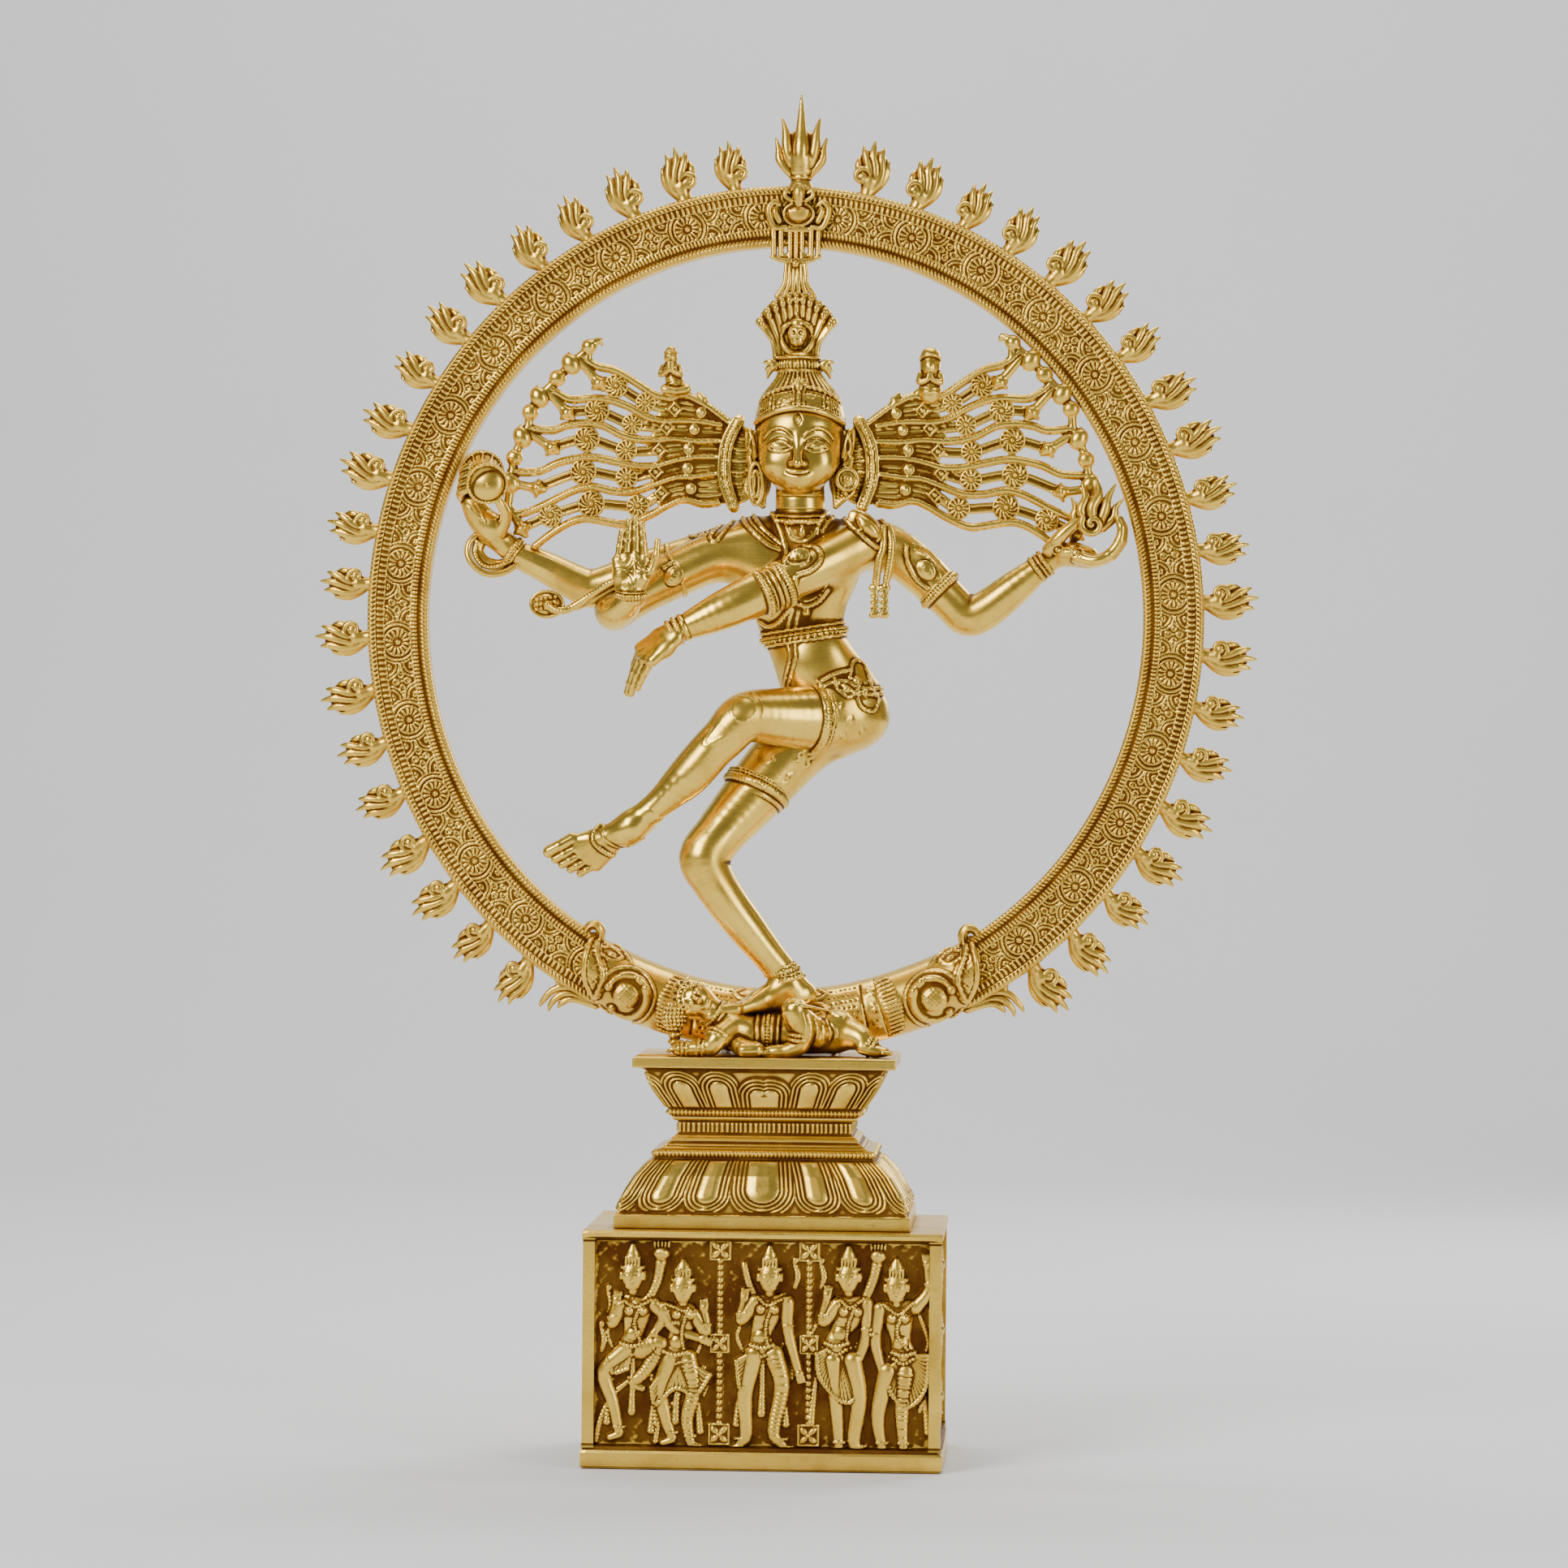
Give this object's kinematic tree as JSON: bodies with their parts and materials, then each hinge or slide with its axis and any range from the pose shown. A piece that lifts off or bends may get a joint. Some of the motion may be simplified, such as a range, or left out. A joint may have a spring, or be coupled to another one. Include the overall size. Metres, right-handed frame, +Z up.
{
  "type": "nataraja statue",
  "caption": "Cast brass nataraja: four-armed dancer on a prone dwarf inside a ring of flames, on a lotus pedestal and a square base block with relief panels.",
  "frame": {"origin": "on the ground under the middle of the ring, at the centre of the base block's depth", "axes": "+Z up along the statue's height, -Y the front that the figure faces, +X to the viewer's right; X is the width of the ring and Y the depth of the block"},
  "size_m": [0.5777, 0.146, 0.8413],
  "materials": {
    "figure_brass": "hand-polished yellow brass with red-brown patina left in the hollows",
    "ring_brass": "chased brass, rubbed bright on the high edges over a red-brown patina",
    "base_brass": "cast brass relief, polished highs over a dark antique ground",
    "fastener_steel": "dull plated steel"
  },
  "bodies": {
    "root": {"base_block": "base_brass", "lotus_pedestal": "base_brass", "pedestal_bolt_1": "fastener_steel", "pedestal_bolt_2": "fastener_steel", "pedestal_bolt_3": "fastener_steel", "pedestal_bolt_4": "fastener_steel", "pedestal_nut_1": "fastener_steel", "pedestal_nut_2": "fastener_steel", "pedestal_nut_3": "fastener_steel", "pedestal_nut_4": "fastener_steel", "arch_band": "ring_brass", "top_flame": "ring_brass", "arch_mask": "ring_brass", "makara_left": "ring_brass", "makara_right": "ring_brass", "arch_tube": "ring_brass", "arch_stud_left": "fastener_steel", "arch_nut_left": "fastener_steel", "arch_stud_right": "fastener_steel", "arch_nut_right": "fastener_steel", "crown_link": "figure_brass", "torso": "figure_brass", "head": "figure_brass", "headdress": "figure_brass", "crown_fan": "figure_brass", "raised_leg": "figure_brass", "standing_leg": "figure_brass", "blessing_arm": "figure_brass", "crossing_arm": "figure_brass", "drum_arm": "figure_brass", "flame_arm": "figure_brass", "hand_drum": "figure_brass", "hand_flame": "figure_brass", "sash": "figure_brass", "hair_fan_left": "ring_brass", "hair_fan_right": "ring_brass", "hair_dowel_left": "fastener_steel", "hair_dowel_right": "fastener_steel", "river_goddess": "ring_brass", "serpent_figure": "ring_brass", "dwarf": "figure_brass", "mace": "figure_brass", "dwarf_stud": "fastener_steel", "dwarf_nut": "fastener_steel"}
  },
  "joints": []
}
